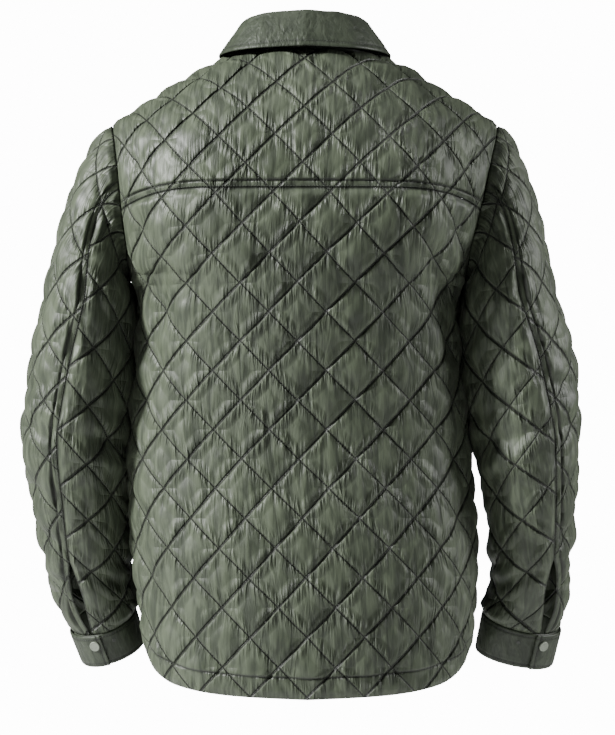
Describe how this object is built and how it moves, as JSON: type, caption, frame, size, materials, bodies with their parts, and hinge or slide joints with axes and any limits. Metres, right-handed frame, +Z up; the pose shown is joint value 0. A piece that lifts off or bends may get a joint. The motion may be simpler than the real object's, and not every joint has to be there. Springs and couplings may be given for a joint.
{
  "type": "quilted jacket",
  "caption": "Worn quilted shirt jacket with an open hollow body, a yoke, a turned-down collar, snapped front placket and snapped cuffs.",
  "frame": {"origin": "centre of the neck base, between the two shoulders, where the wearer's neck and shoulders hold the jacket", "axes": "+Z up, -Y the jacket's front, +X the wearer's left"},
  "size_m": [0.6361, 0.2893, 0.7702],
  "materials": {
    "shell": "quilted satin nylon, dark olive",
    "trim": "plain satin nylon, dark olive",
    "snap": "matte pale grey-green caps"
  },
  "bodies": {
    "root": {"back": "shell", "collar_fall": "trim", "collar_stand": "trim", "cuff_left": "trim", "cuff_right": "trim", "cuff_snap_left": "snap", "cuff_snap_right": "snap", "cuff_stud_left": "snap", "cuff_stud_right": "snap", "front_left": "shell", "front_placket": "trim", "front_right": "shell", "front_snap_1": "snap", "front_snap_2": "snap", "front_snap_3": "snap", "front_snap_4": "snap", "front_snap_5": "snap", "front_snap_6": "snap", "sleeve_outer_left": "shell", "sleeve_outer_right": "shell", "sleeve_under_left": "shell", "sleeve_under_right": "shell", "yoke": "shell"}
  },
  "joints": []
}
